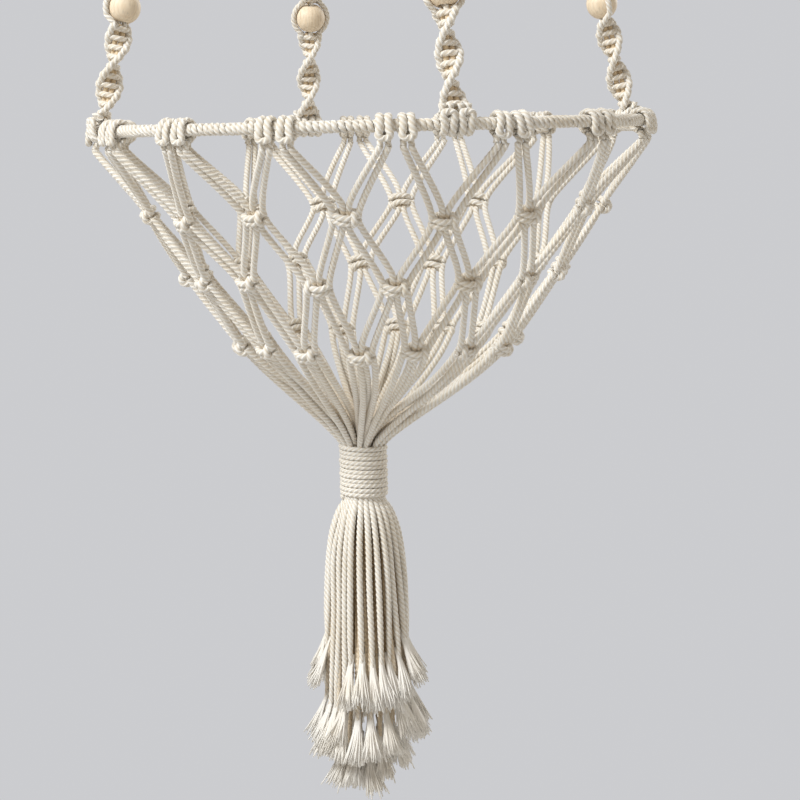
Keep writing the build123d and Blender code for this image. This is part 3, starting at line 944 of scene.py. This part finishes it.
class PLANTER_OT_straps(bpy.types.Operator):
    """Ties the straps: plain cords, spiral sennits and the cords that pass the beads"""

    bl_idname = "planter.straps"
    bl_label = "Straps"

    def execute(self, context):
        for number in range(STRAPS):
            strap = StrapLine(number)
            label = number + 1
            phase = SENNIT_PHASE[number]
            work = CordWork()
            self.plain_cords(work, strap, number)
            work.finish(f"plain_cords_{label}", [f"strap_cords_{label}"])
            for part, start in (("lower", SENNIT_FOOT), ("upper", UPPER_SENNIT_S)):
                work = CordWork()
                tie_sennit(work, strap, start, phase)
                work.finish(f"{part}_spiral_{label}", [f"{part}_sennit_{label}"])
            work = CordWork()
            for side, past in zip((-1, 1), BEAD_CORD_TURN[number]):
                work.lay_cord(pass_bead(strap, side, phase, past), SIDE_CORD)
                bore = [(0, side * BORE_CORD_Y, BEAD_S + end * BEAD_CORD_HALF) for end in (-1, 1)]
                work.lay_cord(strap.at(bore), BORE_CORD)
            work.finish(f"bead_side_cords_{label}", [f"bead_cords_{label}"])
            work = CordWork()
            for side in (-1, 1):
                tie_lark_head(work, hoop_place(strap.angle, side * STRAP_HITCH_HALF_GAP), upwards=True)
            work.finish(f"strap_knots_{label}", [f"strap_hitch_{label}"])
        return {"FINISHED"}

    def plain_cords(self, work, strap, number):
        """Four cords from the upper binding, round its lower edge, to the head of the upper sennit."""
        turn = math.radians(90 * number)
        cos, sin = math.cos(turn), math.sin(turn)
        spin = np.array([[cos, -sin, 0], [sin, cos, 0], [0, 0, 1]])
        for (x, y), (across, inward) in STRAP_CORDS:
            heights = (UPPER_TOP - STRAP_TUCK, UPPER_FOOT + STRAP_TUCK, STRAP_HEAD_Z)
            top, mouth, corner = (spin @ np.array([x, y, z]) for z in heights)
            tail = strap.at([(across, inward, UPPER_SENNIT_TOP - 2.0)])[0]
            gather = strap.at([(0.62 * across, 0.9 * inward, UPPER_SENNIT_TOP + STRAP_GATHER)])[0]
            low = corner + (gather - corner) * 0.12
            bend = bent_line(mouth, corner, corner, low, 10)
            leave, arrive = low + (gather - low) * 0.4, gather + (low - gather) * 0.05
            work.lay_cord(np.vstack([[top], bend, bent_line(low, leave, arrive, tail, 60)[1:]]), spacing=1.6)


class PLANTER_OT_beads(bpy.types.Operator):
    """Turns the wooden beads, each with its hole and softened edges"""

    bl_idname = "planter.beads"
    bl_label = "Beads"

    def execute(self, context):
        start = math.asin(BEAD_BORE / BEAD_R)
        lip_r, lip_z = BEAD_BORE + BEAD_LIP[0], BEAD_LIP[1]
        profile = [(BEAD_BORE, 0, -BEAD_BORE_HALF), (BEAD_BORE, 0, BEAD_BORE_HALF), (lip_r, 0, lip_z)]
        for angle in np.linspace(start + BEAD_SOFTEN, math.pi - start - BEAD_SOFTEN, 23):
            profile.append((BEAD_R * math.sin(angle), 0, BEAD_R * math.cos(angle)))
        profile.append((lip_r, 0, -lip_z))
        for number in range(STRAPS):
            label = number + 1
            bm = bmesh.new()
            verts = [bm.verts.new(p) for p in profile]
            edges = [bm.edges.new(pair) for pair in zip(verts, verts[1:] + verts[:1])]
            bmesh.ops.spin(
                bm, geom=verts + edges, cent=(0, 0, 0), axis=(0, 0, 1), angle=2 * math.pi, steps=56,
                use_merge=True,
            )
            bmesh.ops.remove_doubles(bm, verts=bm.verts, dist=SEAM)
            bmesh.ops.recalc_face_normals(bm, faces=bm.faces)
            name = f"turned_bead_{label}"
            mesh = bpy.data.meshes.new(name)
            bm.to_mesh(mesh)
            bm.free()
            own = points_of(mesh)
            grain = own / MM + np.array([0.03, 0.05, 0.02]) * label
            give_attribute(mesh, "grain", "FLOAT_VECTOR", "vector", grain)
            place = StrapLine(number).at(own + np.array([0, 0, BEAD_S]))
            wood = wood_material("turned_bead_wood", "grain")
            put_piece(name, mesh, place, wood, f"bead_{label}", [f"bead_{label}"])
        return {"FINISHED"}


class PLANTER_OT_hoop(bpy.types.Operator):
    """Winds the hoop and ties the lark's heads on it"""

    bl_idname = "planter.hoop"
    bl_label = "Hoop"

    def execute(self, context):
        work = CordWork()
        turns = cord_sizes().hoop_turns
        t = np.linspace(0, 1, turns * 12 + 1)
        # the turns lie a little closer in some places
        uneven = 0.3 * np.sin(2 * np.pi * 23 * t) + 0.2 * np.sin(2 * np.pi * 61 * t + 1)
        round_hoop = 2 * np.pi * (t + uneven / turns * 0.4)
        round_bar = -2 * np.pi * turns * t
        outward = np.stack([np.cos(round_hoop), np.sin(round_hoop), 0 * t], axis=1)
        facing = outward * np.cos(round_bar)[:, None]
        facing[:, 2] = np.sin(round_bar)
        middle = HOOP_R * outward + np.array([0, 0, HOOP_Z])
        work.lay_cord(
            middle + HOOP_CORD_R * facing, HOOP_CORD, spacing=1.3, facing=facing, flat=HOOP_CORD_FLAT
        )
        work.finish("hoop_wrap", ["hoop_winding"])
        work = CordWork()
        slip = np.random.default_rng(8)
        for pair in lark_places():
            for place in pair:
                tie_lark_head(work, place.turned(slip.normal(0, LARK_TILT)))
        work.finish("net_hitches", ["larks_heads"])
        return {"FINISHED"}


class PLANTER_OT_net(bpy.types.Operator):
    """Ties the rows of square knots and the cords between them"""

    bl_idname = "planter.net"
    bl_label = "Net"

    def execute(self, context):
        rows = net_places()
        slip = np.random.default_rng(3)
        for row, places in enumerate(rows):
            work = CordWork()
            for place in places:
                tie_square_knot(work, place, mirrored=slip.random() < KNOTS_MIRRORED)
            work.finish(f"knots_row_{row + 1}", [f"row_{row + 1}_knots"])
        work = CordWork()
        for pair, heads in enumerate(lark_places()):
            for side, head in zip((-1, 1), heads):
                knot = rows[0][(pair + (side > 0)) % KNOTS_PER_ROW]
                ports = (0, 1) if side > 0 else (2, 3)
                for x, port in zip((LARK_END[0], -LARK_END[0]), ports):
                    start, end = head.at([(x, *LARK_END[1:])])[0], knot_port(knot, port, False)
                    drop_cord(work, slip, start, end, LARK_LEAVE, knot.up)
        work.finish("net_cords_1", ["net_drops"])
        for row in (0, 1):
            work = CordWork()
            for knot, place in enumerate(rows[row]):
                for side in (-1, 1):
                    column = knot + (row % 2) - (side < 0)
                    below = rows[row + 1][column % KNOTS_PER_ROW]
                    pairs = ((2, 0), (3, 1)) if side > 0 else ((1, 3), (0, 2))
                    for upper, lower in pairs:
                        start, end = knot_port(place, upper, True), knot_port(below, lower, False)
                        drop_cord(work, slip, start, end, place.up, below.up)
            work.finish(f"net_cords_{row + 2}", [f"row_{row + 2}_cords"])
        work = CordWork()
        for knot, place in enumerate(rows[2]):
            for port in range(4):
                self.gather_cord(work, knot, place, port)
        work.finish("gathered_cords", ["gather_cords", "gathered_neck"])
        return {"FINISHED"}

    def gather_cord(self, work, knot, place, port):
        """A cord from the last row into its layer of the neck, where it is squeezed."""
        layer = (LAYER_OF_PORT[port] + 2 * (knot % 2)) % 4
        angle = knot * STEP + (port - 1.5) * STEP / 4
        start = knot_port(place, port, True)
        end = polar(NECK_LAYER_R[layer], angle, NECK_TOP - NECK_TUCK) + np.array([NECK_X, 0, 0])
        reach = np.linalg.norm(end - start)
        leave = start - place.up * reach * GATHER_BEND + polar(2.0 - 1.5 * layer, angle, 0)
        arrive = end + np.array([0, 0, 13.0 + 4.5 * layer]) + polar(2.5 + layer, angle, 0)
        line = np.vstack([[start + place.up], bent_line(start, leave, arrive, end, 30)])
        squeeze = graded(line, (0, 0.7, 1), (1, 1, GATHER_SQUEEZE)) * cord_sizes().width
        # Painted shade: near the neck, the deeper the layer, the darker and warmer the cord is painted.
        painted_deep_shade = LAYER_SHADE * layer
        work.lay_cord(line, squeeze, painted_shade=graded(line, (0, 0.35, 0.9, 1), (0, 0, painted_deep_shade, painted_deep_shade)))


class PLANTER_OT_tassel(bpy.types.Operator):
    """Hangs the tassel's cords in tiers and opens their ends"""

    bl_idname = "planter.tassel"
    bl_label = "Tassel"

    def execute(self, context):
        slip = np.random.default_rng(21)
        for name, tier in TIERS.items():
            strands, ends = CordWork(), CordWork()
            for ring in tier.rings:
                for number in range(ring.count):
                    hang_strand(strands, ends, slip, tier, ring, number)
            parts = ((strands, "cords", "twisted_cotton"), (ends, "fray", "opened_cotton"))
            for work, part, material in parts:
                piece = work.finish(f"tassel_{part}_{name}", [tier.node], material, None)
                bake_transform(piece)
        return {"FINISHED"}


class PLANTER_OT_stage(bpy.types.Operator):
    """Sets the floor, the background, the lights and the camera"""

    bl_idname = "planter.stage"
    bl_label = "Stage"

    def execute(self, context):
        finish = finishes()
        scene = context.scene
        scene.view_settings.view_transform = "Standard"
        self.floor(scene, finish)
        self.world(scene, finish)
        azimuth = math.radians(VIEW_AZIMUTH)
        right = Vector((math.cos(azimuth), math.sin(azimuth), 0))
        away = Vector((-math.sin(azimuth), math.cos(azimuth), 0))
        self.camera(scene, right, away)
        for name, to_right, behind, up, size, power in LAMPS:
            spot = LAMP_TARGET + right * to_right + away * behind + Vector((0, 0, up))
            self.lamp(scene, name, spot, size, power)
        return {"FINISHED"}

    def floor(self, scene, finish):
        """A pale floor well below the tassel, which fades into the background."""
        bm = bmesh.new()
        bmesh.ops.create_circle(bm, cap_ends=True, segments=96, radius=FLOOR_R)
        bmesh.ops.translate(bm, verts=bm.verts, vec=(0, 0, FLOOR_Z))
        mesh = bpy.data.meshes.new("floor")
        bm.to_mesh(mesh)
        bm.free()
        material, shader, add, links = shader_nodes("floor_pale")
        place = add("ShaderNodeTexCoord").outputs["Object"]
        grain = add("ShaderNodeTexNoise", {"Vector": place, "Scale": 3.0, "Detail": 2.0})
        tone = add("ShaderNodeMapRange", {"Value": grain.outputs["Fac"], "To Min": 0.66, "To Max": 0.70})
        links.new(tone.outputs[0], shader.inputs["Base Color"])
        shader.inputs["Roughness"].default_value = 0.8
        reach = add("ShaderNodeVectorMath", {0: place}, operation="LENGTH").outputs["Value"]
        edge = add(
            "ShaderNodeMapRange", {"Value": reach, "From Min": FLOOR_FADE[0], "From Max": FLOOR_FADE[1]},
            interpolation_type="SMOOTHSTEP",
        )
        beyond = add("ShaderNodeEmission", {"Color": (*finish.wall, 1)})
        fade = add("ShaderNodeMixShader", {0: edge.outputs[0], 1: shader.outputs[0], 2: beyond.outputs[0]})
        seen = add("ShaderNodeMixShader", {0: self.looked_at(add), 1: shader.outputs[0], 2: fade.outputs[0]})
        output = next(n for n in material.node_tree.nodes if n.type == "OUTPUT_MATERIAL")
        links.new(seen.outputs[0], output.inputs["Surface"])
        mesh.materials.append(material)
        floor = bpy.data.objects.new("floor", mesh)
        scene.collection.objects.link(floor)

    def world(self, scene, finish):
        """Even light all round, and a plain grey background where the camera looks past the planter."""
        world = bpy.data.worlds.new("studio")
        scene.world = world
        world.use_nodes = True
        nodes, links = world.node_tree.nodes, world.node_tree.links
        add = node_adder(world.node_tree)
        light = nodes["Background"]
        light.inputs["Color"].default_value = (*WORLD_LIGHT, 1)
        light.inputs["Strength"].default_value = WORLD_STRENGTH
        seen = add("ShaderNodeBackground", {"Color": (*finish.wall, 1)})
        mix = add("ShaderNodeMixShader", {0: self.looked_at(add), 1: light.outputs[0], 2: seen.outputs[0]})
        links.new(mix.outputs[0], nodes["World Output"].inputs["Surface"])

    def looked_at(self, add):
        """1 for rays from the camera, in a mirror or through glass, and 0 for rays that light the planter."""
        path = add("ShaderNodeLightPath").outputs
        glossy = add("ShaderNodeMath", {0: path["Is Camera Ray"], 1: path["Is Glossy Ray"]})
        every = add("ShaderNodeMath", {0: glossy.outputs[0], 1: path["Is Transmission Ray"]}, use_clamp=True)
        return every.outputs[0]

    def camera(self, scene, right, away):
        """The camera, at the hoop's level and tipped down."""
        data = bpy.data.cameras.new("camera")
        data.sensor_width, data.lens = SENSOR, SENSOR * FOCAL_PIXELS / IMAGE_PIXELS
        data.clip_start, data.clip_end = 0.05, 50
        camera = bpy.data.objects.new("camera", data)
        yaw, pitch, roll = (math.radians(a) for a in CAMERA_TURN)
        level = right * math.sin(yaw) + away * math.cos(yaw)
        forward = level * math.cos(pitch) - Vector((0, 0, 1)) * math.sin(pitch)
        side = right * math.cos(yaw) - away * math.sin(yaw)
        top = side.cross(forward)
        turned_side = side * math.cos(roll) - top * math.sin(roll)
        turned_top = top * math.cos(roll) + side * math.sin(roll)
        to_right, behind, up = CAMERA_SPOT
        spot = right * to_right + away * behind + Vector((0, 0, HOOP_Z / MM + up))
        axes = Matrix((turned_side, turned_top, -forward)).transposed().to_4x4()
        camera.matrix_world = Matrix.Translation(spot) @ axes
        scene.collection.objects.link(camera)
        scene.camera = camera

    def lamp(self, scene, name, spot, size, power):
        """A large soft lamp."""
        data = bpy.data.lights.new(name, "AREA")
        data.shape, data.size, data.energy, data.color = "DISK", size, power, LAMP_COLOUR
        lamp = bpy.data.objects.new(name, data)
        lamp.location = spot
        lamp.rotation_euler = (LAMP_TARGET - spot).to_track_quat("-Z", "Y").to_euler()
        scene.collection.objects.link(lamp)


class PLANTER_PT_panel(bpy.types.Panel):
    """The planter's sizes, finishes and pieces"""

    bl_label = "Macrame Planter"
    bl_idname = "PLANTER_PT_panel"
    bl_space_type = "VIEW_3D"
    bl_region_type = "UI"
    bl_category = "Planter"

    def draw(self, context):
        for group in (context.scene.planter_cord, context.scene.planter_finish):
            box = self.layout.box()
            for name in group.__annotations__:
                box.prop(group, name)
        for operator in OPERATORS:
            self.layout.operator(operator.bl_idname)


OPERATORS = (
    PLANTER_OT_stage,
    PLANTER_OT_hanging_ring,
    PLANTER_OT_ring_loops,
    PLANTER_OT_bindings,
    PLANTER_OT_straps,
    PLANTER_OT_beads,
    PLANTER_OT_hoop,
    PLANTER_OT_net,
    PLANTER_OT_tassel,
)
CLASSES = (PlanterCord, PlanterFinish, *OPERATORS, PLANTER_PT_panel)


def register():
    for cls in CLASSES:
        bpy.utils.register_class(cls)
    bpy.types.Scene.planter_cord = bpy.props.PointerProperty(type=PlanterCord)
    bpy.types.Scene.planter_finish = bpy.props.PointerProperty(type=PlanterFinish)


def unregister():
    del bpy.types.Scene.planter_finish
    del bpy.types.Scene.planter_cord
    for cls in reversed(CLASSES):
        bpy.utils.unregister_class(cls)


def main():
    register()
    bpy.ops.planter.stage()
    bpy.ops.planter.hanging_ring()
    bpy.ops.planter.ring_loops()
    bpy.ops.planter.bindings()
    bpy.ops.planter.straps()
    bpy.ops.planter.beads()
    bpy.ops.planter.hoop()
    bpy.ops.planter.net()
    bpy.ops.planter.tassel()


if __name__ == "__main__":
    main()
